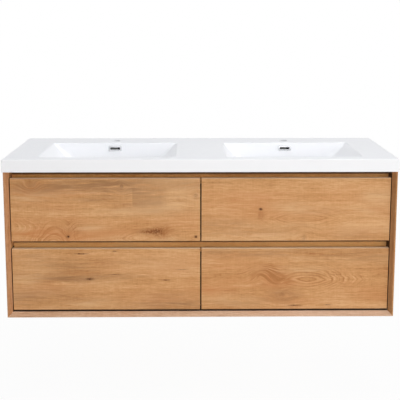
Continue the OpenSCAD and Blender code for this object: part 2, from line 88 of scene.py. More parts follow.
# Screws of the runners, on the divider's side and on the side panel's
INNER_X, WALL_X, RUNNER_WIDTH, SHEET = 0.728, 0.009, 0.0127, 0.0012
RUNNER_SCREWS_Y = (-0.398, -0.300, -0.120, -0.052)
RUNNER_Z = {"upper": -0.162, "lower": -0.444}

# Cover caps inside the drawer boxes, behind the front, and their radius and height
CAP = (0.0062, 0.0011)
BOX_INNER, BOX_OUTER, CAPS_Y = 0.0367, 0.7003, -0.428
CAPS_Z = {"upper": (-0.078, -0.158), "lower": (-0.336, -0.440)}

# Dark sheets of painted shade in the overflow ducts: a back in two parts, and two narrow sides
OVERFLOW_X = {"left": -0.360, "right": 0.360}
DUCT_SHADE_Z = (0.0440, 0.0700)
DUCT_SHADE_BACK_Y, DUCT_SHADE_SIDE_Y = (-0.1072, -0.1064), (-0.1174, -0.1068)
DUCT_SHADE_HALF, DUCT_SHADE_SPLIT = 0.0215, 0.0100
DUCT_SHADE_SIDE_X = (0.0210, 0.0217)
DUCT_SHADE_EASE = 0.0002


def lin(r, g, b):
    """A colour written as 0 to 255 in sRGB, as the shader's linear values."""
    return tuple(v / 255 / 12.92 if v <= 10 else ((v / 255 + 0.055) / 1.055) ** 2.4 for v in (r, g, b)) + (1.0,)


# ---- Material nodes, written as arithmetic ----

class Val:
    """A number that varies over the surface."""

    def __init__(self, net, socket):
        self.net, self.socket = net, socket

    def __add__(self, other):
        return self.net.math("ADD", self, other)

    def __sub__(self, other):
        return self.net.math("SUBTRACT", self, other)

    def __rsub__(self, other):
        return self.net.math("SUBTRACT", other, self)

    def __mul__(self, other):
        return self if other == 1.0 else self.net.math("MULTIPLY", self, other)

    def __truediv__(self, other):
        return self.net.math("DIVIDE", self, other)

    def __lt__(self, other):
        return self.net.math("LESS_THAN", self, other)

    def __gt__(self, other):
        return self.net.math("GREATER_THAN", self, other)

    def __abs__(self):
        return self.net.math("ABSOLUTE", self)

    def clamped(self):
        made = self.net.math("ADD", self, 0.0)
        made.socket.node.use_clamp = True
        return made


def total(values):
    """The sum of one or more values."""
    first, *others = values
    for value in others:
        first = first + value
    return first


class Net:
    """A material and its nodes. x, y and z are the place on the model, in metres."""

    def __init__(self, name):
        self.mat = bpy.data.materials.new(name)
        self.mat.use_nodes = True
        self.tree = self.mat.node_tree
        self.tree.nodes.clear()
        out = self.node("ShaderNodeOutputMaterial")
        self.bsdf = self.node("ShaderNodeBsdfPrincipled")
        self.tree.links.new(self.bsdf.outputs[0], out.inputs[0])
        place = self.node("ShaderNodeSeparateXYZ")
        self.tree.links.new(self.node("ShaderNodeTexCoord").outputs["Object"], place.inputs[0])
        self.x, self.y, self.z = (Val(self, s) for s in place.outputs)

    def node(self, kind):
        return self.tree.nodes.new(kind)

    def put(self, value, socket):
        if isinstance(value, Val):
            self.tree.links.new(value.socket, socket)
        elif isinstance(value, bpy.types.NodeSocket):
            self.tree.links.new(value, socket)
        else:
            socket.default_value = value

    def math(self, operation, *values):
        n = self.node("ShaderNodeMath")
        n.operation = operation
        for value, socket in zip(values, n.inputs):
            self.put(value, socket)
        return Val(self, n.outputs[0])

    def bell(self, squared):
        """1 where squared is 0, falling off softly."""
        return self.math("POWER", math.e, squared * -1.0)

    def noise(self, u, v, w, detail, rough):
        at = self.node("ShaderNodeCombineXYZ")
        for value, socket in zip((u, v, w), at.inputs):
            self.put(value, socket)
        n = self.node("ShaderNodeTexNoise")
        n.inputs["Scale"].default_value = 1.0
        n.inputs["Detail"].default_value = detail
        n.inputs["Roughness"].default_value = rough
        self.tree.links.new(at.outputs[0], n.inputs["Vector"])
        return Val(self, n.outputs[0])

    def cloud(self, per_metre, rough=0.5):
        """Noise that is the same in all directions."""
        return self.noise(self.x * per_metre, self.y * per_metre, self.z * per_metre, 2.0, rough)

    def ramp(self, value, stops):
        n = self.node("ShaderNodeValToRGB")
        while len(n.color_ramp.elements) < len(stops):
            n.color_ramp.elements.new(0.5)
        for element, (place, colour) in zip(n.color_ramp.elements, stops):
            element.position, element.color = place, colour
        self.put(value, n.inputs[0])
        return n.outputs[0]

    def mix(self, amount, a, b):
        n = self.node("ShaderNodeMix")
        n.data_type = "RGBA"
        self.put(amount, n.inputs[0])
        self.put(a, n.inputs[6])
        self.put(b, n.inputs[7])
        return n.outputs[2]

    def bump(self, height, strength, distance):
        n = self.node("ShaderNodeBump")
        n.inputs["Strength"].default_value = strength
        n.inputs["Distance"].default_value = distance
        self.put(height, n.inputs["Height"])
        self.tree.links.new(n.outputs[0], self.bsdf.inputs["Normal"])

    def set(self, **values):
        for name, value in values.items():
            self.put(value, self.bsdf.inputs[name.replace("_", " ").title().replace("Ior", "IOR")])


def dress(names, material):
    for name in names:
        mesh = NODES[name].data
        mesh.materials.clear()
        mesh.materials.append(material)


def nodes_named(*starts):
    return [name for name in NODES if name.startswith(starts)]


# ---- Oak ----

AMBER = lin(170, 112, 63)
ROSE = lin(190, 124, 72)
STRAW = lin(216, 174, 128)
SMOKE = lin(154, 110, 70)
KNOT = lin(82, 34, 2)
BURL = lin(128, 70, 24)
RUST = lin(168, 104, 56)
# Painted shade: on the fronts' feet and meeting edges, the rails' tops, the right bevel and the divider's front edge
PAINTED_SHADE = lin(46, 26, 12)
# Painted highlight on the fronts' top edges, and painted light on their top faces
ARRIS_HIGHLIGHT = lin(232, 205, 178)
TOP_FACE_LIGHT = lin(255, 212, 166)
# Painted light on the right part of the bottom panel
BOTTOM_PAINTED_LIGHT = lin(222, 192, 168)
# Painted shade in the gaps beside the fronts, and painted light on the left panel's faces in the grips
GAP_SHADE_SIDE, GAP_SHADE_BOTTOM, GRIP_PAINTED_LIGHT = lin(58, 34, 16), lin(16, 12, 10), lin(226, 166, 108)


def palette(*colours):
    """The stops of a ramp through four tones of wood."""
    return list(zip((0.08, 0.40, 0.62, 0.98), colours))


PLANK = palette(AMBER, lin(192, 139, 86), lin(203, 150, 98), lin(216, 168, 120))
# RAIL is paler and more orange than PLANK: partly the rails' own tone, partly painted light on rails that lie in the
# grip gaps' shade
RAIL = palette(lin(206, 134, 68), lin(228, 160, 92), lin(246, 174, 102), lin(255, 190, 118))
# EDGE, EDGE_RIGHT and ROSY hold the outer panels' wood: partly their own tone, partly painted light and shade, darker
# on the side panels, the right one in its own copy, and paler and pinker on the bottom panel
EDGE = palette(lin(146, 94, 57), lin(164, 113, 73), lin(175, 124, 84), lin(188, 140, 101))
EDGE_RIGHT = palette(lin(150, 99, 56), lin(169, 118, 71), lin(181, 129, 81), lin(194, 146, 97))
ROSY = palette(lin(176, 132, 99), lin(191, 150, 117), lin(201, 162, 131), lin(211, 176, 147))

# Each texture's axis across the grain (v, or flow where it follows the bends), its waves per metre along u,
# across and into the wood, its share of the seed, and the noise's detail and roughness
TEXTURES = {
    "sway": ("v", 1.3, 2.0, 2.0, 1.0, 2.0, 0.45),
    "ripple": ("v", 8.0, 30.0, 1.0, 1.3, 2.0, 0.55),
    "ragged": ("v", 210.0, 210.0, 1.0, 1.0, 1.0, 0.5),
    "rings": ("flow", 2.6, 62.0, 30.0, 1.0, 3.0, 0.60),
    "lines": ("flow", 6.0, 170.0, 90.0, 0.7, 2.0, 0.6),
    "arch edge": ("v", 9.0, 30.0, 1.0, 2.9, 2.0, 0.5),
    "fibres": ("flow", 42.0, 430.0, 200.0, 1.0, 2.0, 0.65),
    "pores": ("flow", 55.0, 1700.0, 700.0, 1.0, 1.0, 0.5),
    "cloud": ("v", 3.2, 15.0, 4.0, 1.7, 4.0, 0.64),
    "flecks": ("v", 190.0, 26.0, 1.0, 3.1, 2.0, 0.6),
    "hue": ("v", 2.4, 12.0, 3.0, 4.3, 3.0, 0.62),
    "veil": ("flow", 10.0, 110.0, 1.0, 2.3, 3.0, 0.65),
    "spots": ("v", 150.0, 170.0, 1.0, 5.1, 2.0, 0.6),
    "strokes": ("flow", 20.0, 150.0, 1.0, 3.7, 2.0, 0.55),
}

# Stains in the order in which they are laid on: the tint, its texture, and how the texture is spread
STAINS = {
    "smoke": (SMOKE, "veil", 2.6, 0.75),
    "rose": (ROSE, "veil", 2.6, 0.75),
    "pale": (STRAW, "veil", 2.6, 0.75),
    "plumes": (AMBER, "flecks", 2.6, 0.75),
    "curls": (AMBER, "strokes", 5.46, 2.31),
    "burls": (BURL, "spots", 2.6, 0.75),
}


class Oak(Net):
    """Oak with its grain along u, where v is the way across it on the face and w the way into the wood.

    A place on the face is (u, v, half length, half height) in metres. flow is v as the grain bends it, tone
    goes from dark to pale wood, and colour is what has been painted so far.
    """

    def __init__(self, name, along, seed):
        super().__init__(name)
        self.u, self.v, self.w = (getattr(self, axis) for axis in along)
        self.seed = seed
        self.sway = self.texture("sway") - 0.5
        self.ripple = self.texture("ripple") - 0.5
        self.flow = self.v + self.sway * 0.034 + self.ripple * 0.0045
        self.cores, self.grooves = [], []

    def texture(self, kind):
        across, per_u, per_v, per_w, share, detail, rough = TEXTURES[kind]
        into = self.w * per_w + self.seed * share
        return self.noise(self.u * per_u, getattr(self, across) * per_v, into, detail, rough)

    def away(self, place_u, place_v, half_length, half_height):
        """The way from a place, in its half lengths and half heights."""
        return (self.u - place_u) / half_length, (self.v - place_v) / half_height

    def tint(self, amount, colour):
        self.colour = self.mix(amount, self.colour, colour)

    def bend(self, *place, push):
        """Pushes the grain down at a place."""
        du, dv = self.away(*place)
        self.flow = self.flow + self.bell(du * du + dv * dv) * push

    def knot(self, *place, amount):
        """A dark core, with the grain running round it."""
        du, dv = self.away(*place)
        half_height = place[3]
        self.flow = self.flow + dv * self.bell(du * du * 0.05 + dv * dv * 0.09) * (half_height * -0.9)
        ragged = self.texture("ragged") - 0.5
        self.cores.append(self.bell(du * du + dv * dv + ragged * 2.2) * amount)

    def grow(self, strength):
        """Growth rings and fine lines."""
        rings, lines = self.texture("rings") - 0.5, self.texture("lines") - 0.5
        self.tone = rings * (0.60 * strength) + lines * (0.72 * strength)

    def arch(self, *place, curl, rings, amount):
        """Rings nested round a place, or chevrons that point along u where curl is below 0."""
        chevrons = curl < 0
        du = self.u - place[0] + self.ripple * 0.040
        dv = self.v - place[1] + self.ripple * 0.016 + self.sway * 0.02
        blunt_tip = 0.00009 if chevrons else 0.00002
        off_axis = self.math("SQRT", dv * dv + blunt_tip)
        nested = du - off_axis * curl if chevrons else off_axis + du * du * curl
        along = self.v if chevrons else self.u
        line = self.noise(along * 4.0, nested * rings, self.w + self.seed * 1.9, 2.0, 0.55) - 0.5
        far_u, far_v = self.away(*place)
        edge = self.texture("arch edge") * 1.6 - 0.8
        there = self.bell(far_u * far_u + far_v * far_v + edge).clamped()
        self.tone = self.tone + (line * (2.6 * amount) - 0.05 - self.tone) * there
        self.grooves.append((line * -5.0 - 0.15).clamped() * there * amount)

    def paint(self, stops, strength, warm):
        """The colour of the wood, from its tone, pores and change of hue."""
        self.fibres, self.pores = self.texture("fibres") - 0.5, self.texture("pores")
        cloud = self.texture("cloud") - 0.5
        self.tone = self.tone + self.fibres * 1.15 + cloud * 1.25
        self.tone = self.tone + self.texture("flecks") * (0.34 * strength) + (0.35 + warm)
        self.colour = self.ramp(self.tone, stops)
        self.tint(((self.pores - 0.60) * 3.4).clamped() * 0.22, AMBER)
        hue = self.texture("hue")
        self.tint(((hue - 0.53) * 5.0).clamped() * 0.42, ROSE)
        self.tint(((0.45 - hue) * 5.0).clamped() * 0.40, STRAW)

    def stain(self, kind, places):
        tint, texture, contrast, floor = STAINS[kind]
        spread = self.texture(texture) * contrast - floor
        for *place, amount in places:
            du, dv = self.away(*place)
            self.tint((self.bell(du * du + dv * dv) * spread * amount).clamped(), tint)

    def smoky_patch(self, left, right, low, high, amount):
        """A smoky field with a sharp left end, as where two boards meet. Each side has its own steepness."""
        there = ((self.u - left) * 400.0).clamped() * ((right - self.u) * 30.0).clamped()
        there = there * ((self.v - low) * 60.0).clamped() * ((high - self.v) * 80.0).clamped()
        self.tint((there * (self.texture("veil") * 1.9 - 0.35) * amount).clamped(), SMOKE)

    def front_edge_light_and_shade(self, level):
        """Painted highlight on a drawer front's top edge and painted light on its top face, and painted shade on its
        lower and meeting edges.
        """
        top = FRONT_TOPS[level]
        # Painted highlight along the top edge, and painted light on the top face
        self.tint(((self.v - (top - HIGHLIGHT_STRIP)) * 1200.0).clamped() * 0.65, ARRIS_HIGHLIGHT)
        self.tint((self.v > top - 0.0001) * 0.8, TOP_FACE_LIGHT)
        # Painted shade along the front's foot, over the gap below it, and where the two fronts meet
        foot = self.v < top - FRONT_HEIGHT + FOOT_SHADE_STRIPS[level]
        meeting = abs(self.u) < MEETING_SHADE_STRIP
        self.tint((foot + meeting).clamped() * 0.85, PAINTED_SHADE)

    def rail_shadow(self, height):
        """Painted shadow above a height on a front rail, where the apron or the upper fronts shade it."""
        self.tint(((self.v - height) * 240.0).clamped() * 0.86, PAINTED_SHADE)

    def beside_the_fronts(self, panel):
        """Painted shade on an outer panel's faces beside the fronts, with painted light in its place on the left
        panel's faces in the grips. With it come painted shade on the right panel's bevel and painted light on the
        right half of the bottom panel."""
        # Painted light, paler towards the right of the bottom panel
        if panel == "bottom":
            self.tint(((self.x + 0.45) * 0.9).clamped() * 0.34, BOTTOM_PAINTED_LIGHT)
        # Painted shade on the faces beside the fronts, seen through the gaps
        behind = (self.z > BOTTOM_PANEL_TOP) * (abs(self.x) < SIDE_PANEL_INSIDE)
        behind = behind * (self.y > BEVEL_BACK) * (self.y < FRONT_RAIL_FACE) * 0.9
        self.tint(behind, GAP_SHADE_BOTTOM if panel == "bottom" else GAP_SHADE_SIDE)
        # Painted light on the left panel's faces in the grips, which face the lamps on the right
        if panel == "left":
            in_grip = (self.z > FRONT_TOPS["upper"]) + self.math("COMPARE", self.z, GRIP_MIDDLE, GRIP_HALF)
            self.tint(behind * in_grip.clamped(), GRIP_PAINTED_LIGHT)
        # Painted shade on the right panel's bevel, which faces away from the lamps on the right
        if panel == "right":
            bevel = (abs(self.x) < SIDE_PANEL_MARGIN) * (self.y < BEVEL_BACK)
            self.tint(bevel * 0.28, PAINTED_SHADE)

    def finished(self):
        """The material, with gloss and relief from fibres and pores."""
        self.set(base_color=self.colour, roughness=self.fibres * 0.20 + 0.52, specular_ior_level=0.30)
        self.bump(self.fibres * 0.5 + self.pores * 0.5, 0.22, 0.00035)
        return self.mat


def oak(name, along, seed, stops=PLANK, warm=0.0, figure=1.0, bends=(), knots=(), arches=(), patch=None, **stains):
    """Oak with its figure. Rows of bends end with how far they push, in metres, and rows of knots and stains
    with an amount. Rows of arches are (u, v, curl, half length, half height, rings per metre, amount)."""
    n = Oak(name, along, seed)
    for *place, push in bends:
        n.bend(*place, push=push)
    for *place, amount in knots:
        n.knot(*place, amount=amount)
    n.grow(figure)
    for u, v, curl, half_length, half_height, rings, amount in arches:
        n.arch(u, v, half_length, half_height, curl=curl, rings=rings, amount=amount)
    n.paint(stops, figure, warm)
    for kind in STAINS:
        if kind in stains:
            n.stain(kind, stains[kind])
    if patch is not None:
        n.smoky_patch(*patch)
    if n.grooves:
        n.tint(total(n.grooves).clamped() * 0.62, RUST)
    if n.cores:
        n.tint(total(n.cores).clamped(), KNOT)
    return n


FRONTS = {
    "upper_left": dict(
        seed=3.1, figure=1.28,
        patch=(-0.262, -0.120, -0.105, -0.020, 0.62),
        arches=[(-0.562, -0.240, 15.0, 0.092, 0.072, 108.0, 1.35),
                (-0.668, -0.180, -1.6, 0.046, 0.026, 105.0, 1.2),
                (-0.225, -0.218, 4.0, 0.100, 0.024, 190.0, 0.8)],
        knots=[(-0.508, -0.215, 0.0056, 0.0046, 1.3), (-0.170, -0.195, 0.012, 0.006, 0.42),
               (-0.019, -0.217, 0.0054, 0.0044, 1.2), (-0.301, -0.018, 0.006, 0.009, 0.45),
               (-0.019, -0.054, 0.009, 0.011, 0.30)],
        smoke=[(-0.650, -0.026, 0.105, 0.030, 1.0), (-0.540, -0.020, 0.14, 0.026, 0.8),
               (-0.360, -0.012, 0.18, 0.024, 1.25), (-0.320, -0.026, 0.12, 0.034, 1.0),
               (-0.060, -0.012, 0.12, 0.022, 0.7), (-0.210, -0.198, 0.036, 0.014, 1.0),
               (-0.640, -0.110, 0.16, 0.030, 0.15), (-0.180, -0.114, 0.10, 0.018, 0.5),
               (-0.400, -0.075, 0.10, 0.012, 0.6)],
        pale=[(-0.110, -0.076, 0.13, 0.044, 0.8), (-0.640, -0.062, 0.11, 0.020, 0.7),
              (-0.090, -0.008, 0.12, 0.024, 0.4), (-0.320, -0.222, 0.06, 0.014, 0.7),
              (-0.130, -0.226, 0.06, 0.012, 0.7), (-0.300, -0.120, 0.14, 0.016, 0.6),
              (-0.440, -0.182, 0.080, 0.012, 0.9), (-0.690, -0.184, 0.030, 0.010, 0.8)],
        rose=[(-0.640, -0.205, 0.110, 0.036, 1.05), (-0.500, -0.205, 0.13, 0.034, 0.95),
              (-0.060, -0.150, 0.12, 0.040, 0.50), (-0.330, -0.190, 0.14, 0.030, 0.45),
              (-0.600, -0.150, 0.16, 0.014, 0.55)],
        plumes=[(-0.507, -0.193, 0.012, 0.020, 0.85), (-0.140, -0.197, 0.026, 0.026, 1.1)],
        bends=[(-0.507, -0.195, 0.022, 0.040, 0.030), (-0.648, -0.022, 0.034, 0.022, 0.030),
               (-0.150, -0.192, 0.030, 0.022, 0.020)],
        curls=[(-0.490, -0.180, 0.050, 0.030, 0.70), (-0.648, -0.026, 0.050, 0.030, 0.75),
               (-0.150, -0.195, 0.060, 0.026, 0.55)],
        burls=[(-0.166, -0.196, 0.026, 0.015, 1.5), (-0.200, -0.197, 0.028, 0.007, 1.3)]),
    "upper_right": dict(
        seed=9.4, warm=0.07,
        arches=[(0.400, -0.143, 1.6, 0.17, 0.034, 190.0, 0.40)],
        knots=[(0.229, -0.109, 0.0058, 0.0042, 1.2), (0.397, -0.223, 0.008, 0.012, 0.22)],
        smoke=[(0.080, -0.165, 0.14, 0.022, 0.46), (0.200, -0.200, 0.20, 0.022, 0.40),
               (0.600, -0.214, 0.09, 0.020, 0.6)],
        pale=[(0.600, -0.115, 0.16, 0.022, 0.55), (0.680, -0.062, 0.07, 0.030, 0.9),
              (0.370, -0.106, 0.09, 0.024, 0.9), (0.350, -0.172, 0.12, 0.014, 0.6)],
        rose=[(0.180, -0.110, 0.18, 0.040, 0.60), (0.340, -0.125, 0.12, 0.026, 0.35),
              (0.190, -0.062, 0.13, 0.024, 0.75), (0.560, -0.060, 0.18, 0.030, 0.35),
              (0.600, -0.200, 0.16, 0.026, 0.30)],
        plumes=[(0.228, -0.130, 0.014, 0.022, 1.0)]),
    "lower_left": dict(
        seed=15.8, warm=0.04,
        knots=[(-0.460, -0.283, 0.022, 0.0024, 1.0), (-0.429, -0.384, 0.012, 0.0040, 0.85),
               (-0.332, -0.273, 0.008, 0.0022, 0.8), (-0.135, -0.389, 0.014, 0.0020, 0.75),
               (-0.072, -0.347, 0.018, 0.0016, 0.55), (-0.328, -0.366, 0.020, 0.0016, 0.55)],
        smoke=[(-0.520, -0.383, 0.125, 0.014, 1.4), (-0.500, -0.335, 0.12, 0.026, 0.75),
               (-0.590, -0.450, 0.14, 0.036, 0.80), (-0.33, -0.372, 0.12, 0.012, 0.80),
               (-0.380, -0.470, 0.14, 0.024, 0.15), (-0.690, -0.455, 0.07, 0.035, 0.6),
               (-0.110, -0.490, 0.17, 0.024, 1.0), (-0.640, -0.300, 0.12, 0.026, 0.45),
               (-0.120, -0.455, 0.12, 0.022, 0.55)],
        pale=[(-0.640, -0.352, 0.08, 0.022, 0.7), (-0.690, -0.386, 0.07, 0.020, 0.9),
              (-0.450, -0.488, 0.11, 0.018, 0.7), (-0.200, -0.320, 0.16, 0.026, 0.5)],
        rose=[(-0.100, -0.330, 0.15, 0.034, 0.55), (-0.620, -0.420, 0.12, 0.036, 0.50),
              (-0.200, -0.450, 0.16, 0.030, 0.35)]),
    "lower_right": dict(
        seed=21.3,
        arches=[(0.410, -0.386, 2.4, 0.130, 0.042, 195.0, 0.85),
                (0.560, -0.384, -1.0, 0.080, 0.018, 96.0, 1.1)],
        knots=[(0.363, -0.493, 0.022, 0.0026, 0.85), (0.493, -0.491, 0.013, 0.0022, 0.65),
               (0.315, -0.448, 0.016, 0.012, 0.22)],
        smoke=[(0.318, -0.446, 0.055, 0.032, 1.1), (0.170, -0.280, 0.22, 0.020, 0.8),
               (0.600, -0.292, 0.16, 0.030, 0.75), (0.150, -0.480, 0.12, 0.018, 0.6)],
        pale=[(0.360, -0.350, 0.14, 0.016, 0.8), (0.130, -0.470, 0.10, 0.020, 0.5)],
        rose=[(0.270, -0.365, 0.060, 0.042, 1.2), (0.090, -0.335, 0.11, 0.026, 0.65),
              (0.040, -0.435, 0.07, 0.026, 0.85), (0.320, -0.400, 0.055, 0.032, 0.9),
              (0.130, -0.400, 0.15, 0.050, 0.50), (0.620, -0.420, 0.14, 0.034, 0.35)],
        bends=[(0.232, -0.360, 0.050, 0.036, -0.034), (0.300, -0.402, 0.034, 0.020, 0.020)],
        curls=[(0.262, -0.364, 0.054, 0.036, 1.15), (0.310, -0.392, 0.040, 0.018, 1.0)]),
}
for quarter, look in FRONTS.items():
    front = "drawer_front_" + quarter
    wood = oak("oak_" + front, "xzy", **look)
    wood.front_edge_light_and_shade(quarter.split("_")[0])
    dress([front], wood.finished())

OUTER_PANELS = (("bottom_panel", "oak_bottom", "xyz", 31.0, ROSY, "bottom"),
                ("side_panel_left", "oak_side_left", "zyx", 37.0, EDGE, "left"),
                ("side_panel_right", "oak_side_right", "zyx", 41.0, EDGE_RIGHT, "right"))
for node_name, name, along, seed, stops, panel in OUTER_PANELS:
    wood = oak(name, along, seed, stops)
    wood.beside_the_fronts(panel)
    dress([node_name], wood.finished())

# The middle rail is set paler as painted light, and the upper rail, under the apron, darker as painted shade
for level, seed, warm in (("upper", 47.0, -0.18), ("middle", 53.0, 0.40)):
    wood = oak("oak_rail_" + level, "xzy", seed, RAIL, warm)
    # Painted shadow on the top of each rail
    wood.rail_shadow(RAIL_SHADOW_FROM[level])
    dress(["front_rail_" + level], wood.finished())


# ---- Plain boards of the hidden pieces ----

BOARD = [(0.25, lin(196, 164, 126)), (0.55, lin(214, 184, 146)), (0.8, lin(224, 197, 162))]


def board(name, along, seed, shade_before=None):
    """Plain pale board, with painted shade on an edge that lies before a given depth."""
    n = Net(name)
    u, v, w = (getattr(n, a) for a in along)
    bands = n.noise(u * 2.5, v * 60.0, w * 60.0 + seed, 3.0, 0.55)
    fine = n.noise(u * 14.0, v * 420.0, w * 300.0 + seed, 1.0, 0.5)
    colour = n.ramp(bands * 0.7 + fine * 0.3, BOARD)
    if shade_before is not None:
        # Painted shade on the front edge
        colour = n.mix(n.y < shade_before, colour, PAINTED_SHADE)
    n.set(base_color=colour, roughness=fine * 0.12 + 0.46, specular_ior_level=0.3)
    n.bump(fine, 0.15, 0.0002)
    return n.mat


dress(nodes_named("drawer_outer", "drawer_inner"), board("board_sides", "yzx", 2.0))
# The divider's front edge gets painted shade, so that the gap where the fronts meet looks dark
dress(["center_divider"], board("board_divider", "yzx", 2.6, DIVIDER_EDGE))
dress(nodes_named("drawer_back") + ["hanging_rail", "lower_back_rail"], board("board_backs", "xzy", 5.0))
dress(nodes_named("drawer_bottom"), board("board_bottoms", "xyz", 8.0))
dress(["pipe_surround_left", "pipe_surround_right"], board("board_surrounds", "xzy", 11.0))


# ---- Moulded white, metals, rubber and plastic ----

def moulded_white():
    """White of the top, with painted light: paler and a touch warmer on the apron, and paler and a touch cooler
    inside the basins.
    """
    n = Net("moulded_white")
    drift, cloud = n.cloud(2.2), n.cloud(38.0)
    colour = n.ramp(drift * 0.6 + cloud * 0.4, [(0.3, lin(233, 234, 238)), (0.7, lin(238, 239, 242))])
    # Painted light on the apron
    colour = n.mix((n.y < APRON_FACE) * 0.7, colour, lin(241, 240, 240))
    # Painted light inside the basins, below the rim
    in_basin = ((BASIN_RIM - n.z) * 500.0).clamped() * (n.y > BASINS_FRONT) * (n.y < BASINS_BACK)
    colour = n.mix(in_basin * (abs(n.x) < BASINS_END) * 0.7, colour, lin(243, 244, 247))
    n.set(base_color=colour, roughness=cloud * 0.10 + 0.38, specular_ior_level=0.40)
    n.bump(drift, 0.04, 0.002)
    return n.mat


def metal(name, low, high, rough, spread, stretch=(1.0, 1.0, 1.0), per_metre=220.0, bump=0.06):
    """Metal between two tones, brushed along the axis whose stretch is small."""
    n = Net(name)
    sx, sy, sz = stretch
    brushed = n.noise(n.x * (per_metre * sx), n.y * (per_metre * sy), n.z * (per_metre * sz), 3.0, 0.55)
    cloud = n.cloud(26.0)
    n.set(base_color=n.ramp(brushed * 0.5 + cloud * 0.5, [(0.3, low), (0.7, high)]),
          roughness=cloud * spread + rough, metallic=1.0)
    n.bump(brushed, bump, 0.0001)
    return n.mat


def rubber():
    n = Net("rubber")
    speck = n.cloud(700.0, rough=0.6)
    colour = n.ramp(speck, [(0.3, lin(28, 28, 30)), (0.7, lin(42, 42, 44))])
    n.set(base_color=colour, roughness=speck * 0.2 + 0.6)
    n.bump(speck, 0.3, 0.0002)
    return n.mat


def speckled_matt(name, low, high):
    n = Net(name)
    speck = n.cloud(900.0, rough=0.6)
    colour = n.ramp(speck, [(0.3, low), (0.7, high)])
    n.set(base_color=colour, roughness=speck * 0.15 + 0.42, specular_ior_level=0.4)
    n.bump(speck, 0.15, 0.0001)
    return n.mat


chrome = metal("chrome", lin(212, 214, 218), lin(228, 230, 233), 0.07, 0.08)
satin_chrome = metal("chrome_trim", lin(176, 177, 180), lin(196, 197, 200), 0.20, 0.10)
zinc = metal("zinc_steel", lin(176, 178, 182), lin(204, 206, 209), 0.26, 0.16, (1.0, 0.06, 1.0), 420.0, 0.14)
brass = metal("brass", lin(190, 160, 96), lin(214, 186, 122), 0.22, 0.14)
cap_white = speckled_matt("cap_white", lin(214, 206, 192), lin(226, 219, 207))
# Two greys for the sheets of painted shade in the overflow ducts
duct_shade_grey = speckled_matt("duct_shade_grey", lin(118, 118, 116), lin(138, 138, 135))
duct_shade_dark = speckled_matt("duct_shade_dark", lin(34, 34, 36), lin(46, 46, 48))

dress(["sink_top", "basin_left", "basin_right"], moulded_white())
dress(nodes_named("waste_body", "waste_stopper"), chrome)
dress(["overflow_trim_left", "overflow_trim_right"], satin_chrome)
dress(nodes_named("runner_") + ["fixing_plates", "top_brackets"], zinc)
dress(["waste_backnuts"], brass)
dress(["waste_seals"], rubber())


# ---- Small pieces that the solids leave out, and dark sheets of painted shade in the overflow ducts ----

# Radius and height of the rings of a pan head and of a cover cap, as shares of the whole
PAN_HEAD = [(1.0, 0.0), (1.0, 0.30), (0.93, 0.66), (0.72, 0.95), (0.52, 1.0), (0.46, 1.0), (0.34, 0.50), (0.10, 0.45)]
PAN_RECESS, RECESS_NARROW = 5, 0.42
LOW_CAP = [(1.0, 0.0), (1.0, 0.35), (0.95, 0.75), (0.80, 0.95), (0.30, 1.0), (0.05, 1.0)]
SHARP_ANGLE = math.radians(38.0)


def turned(place, toward, profile, size, sides, recess=None):
    """Rings of a turned form of a radius and height that stands on place. From recess on, the rings make a
    cross: two points in each quarter lie further in."""
    radius, height = size
    toward = Vector(toward)
    side = toward.orthogonal().normalized()
    up = toward.cross(side)
    rings = []
    for i, (radius_share, height_share) in enumerate(profile):
        ring = []
        for k in range(sides):
            turn = 2 * math.pi * k / sides
            in_cross = recess is not None and i >= recess and k % (sides // 4) in (2, 3)
            narrow = RECESS_NARROW if in_cross else 1.0
            out = (side * math.cos(turn) + up * math.sin(turn)) * (radius_share * radius) * narrow
            ring.append(Vector(place) + toward * (height_share * height) + out)
        rings.append(ring)
    return rings


def screw(place, toward, size):
    """Pan head with a cross recess."""
    return turned(place, toward, PAN_HEAD, size, sides=20, recess=PAN_RECESS)


def cover_cap(place, toward):
    """Low plastic cap over a cam fitting."""
    return turned(place, toward, LOW_CAP, CAP, sides=28)


def plate(low, high, ease):
    """Rings of a flat box from low to high with its corners and edges taken off."""
    (x0, y0, z0), (x1, y1, z1) = low, high
    rings = []
    for z, inset in ((z0, ease), (z0 + ease, 0.0), (z1 - ease, 0.0), (z1, ease)):
        a, b, c, d = x0 + inset, x1 - inset, y0 + inset, y1 - inset
        outline = ((a + ease, c), (b - ease, c), (b, c + ease), (b, d - ease),
                   (b - ease, d), (a + ease, d), (a, d - ease), (a, c + ease))
        rings.append([Vector((x, y, z)) for x, y in outline])
    return rings


def stand(name, mesh):
    """The mesh as an object in the scene."""
    made = bpy.data.objects.new(name, mesh)
    bpy.context.scene.collection.objects.link(made)
    return made


def piece(name, body, material, forms, smooth):
    """One object made of closed forms, each a stack of rings."""
    points, faces = [], []
    for rings in forms:
        first, count = len(points), len(rings[0])
        points += [p for ring in rings for p in ring]
        for i in range(len(rings) - 1):
            for k in range(count):
                a, b = first + i * count + k, first + i * count + (k + 1) % count
                faces.append((a, b, b + count, a + count))
        faces.append(tuple(reversed(range(first, first + count))))
        faces.append(tuple(range(len(points) - count, len(points))))
    mesh = bpy.data.meshes.new(name)
    mesh.from_pydata(points, [], faces)
    mesh.validate()
    mesh.materials.append(material)
    if smooth:
        mesh.shade_smooth()
        mesh.set_sharp_from_angle(angle=SHARP_ANGLE)
    made = stand(name, mesh)
    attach(made, body)


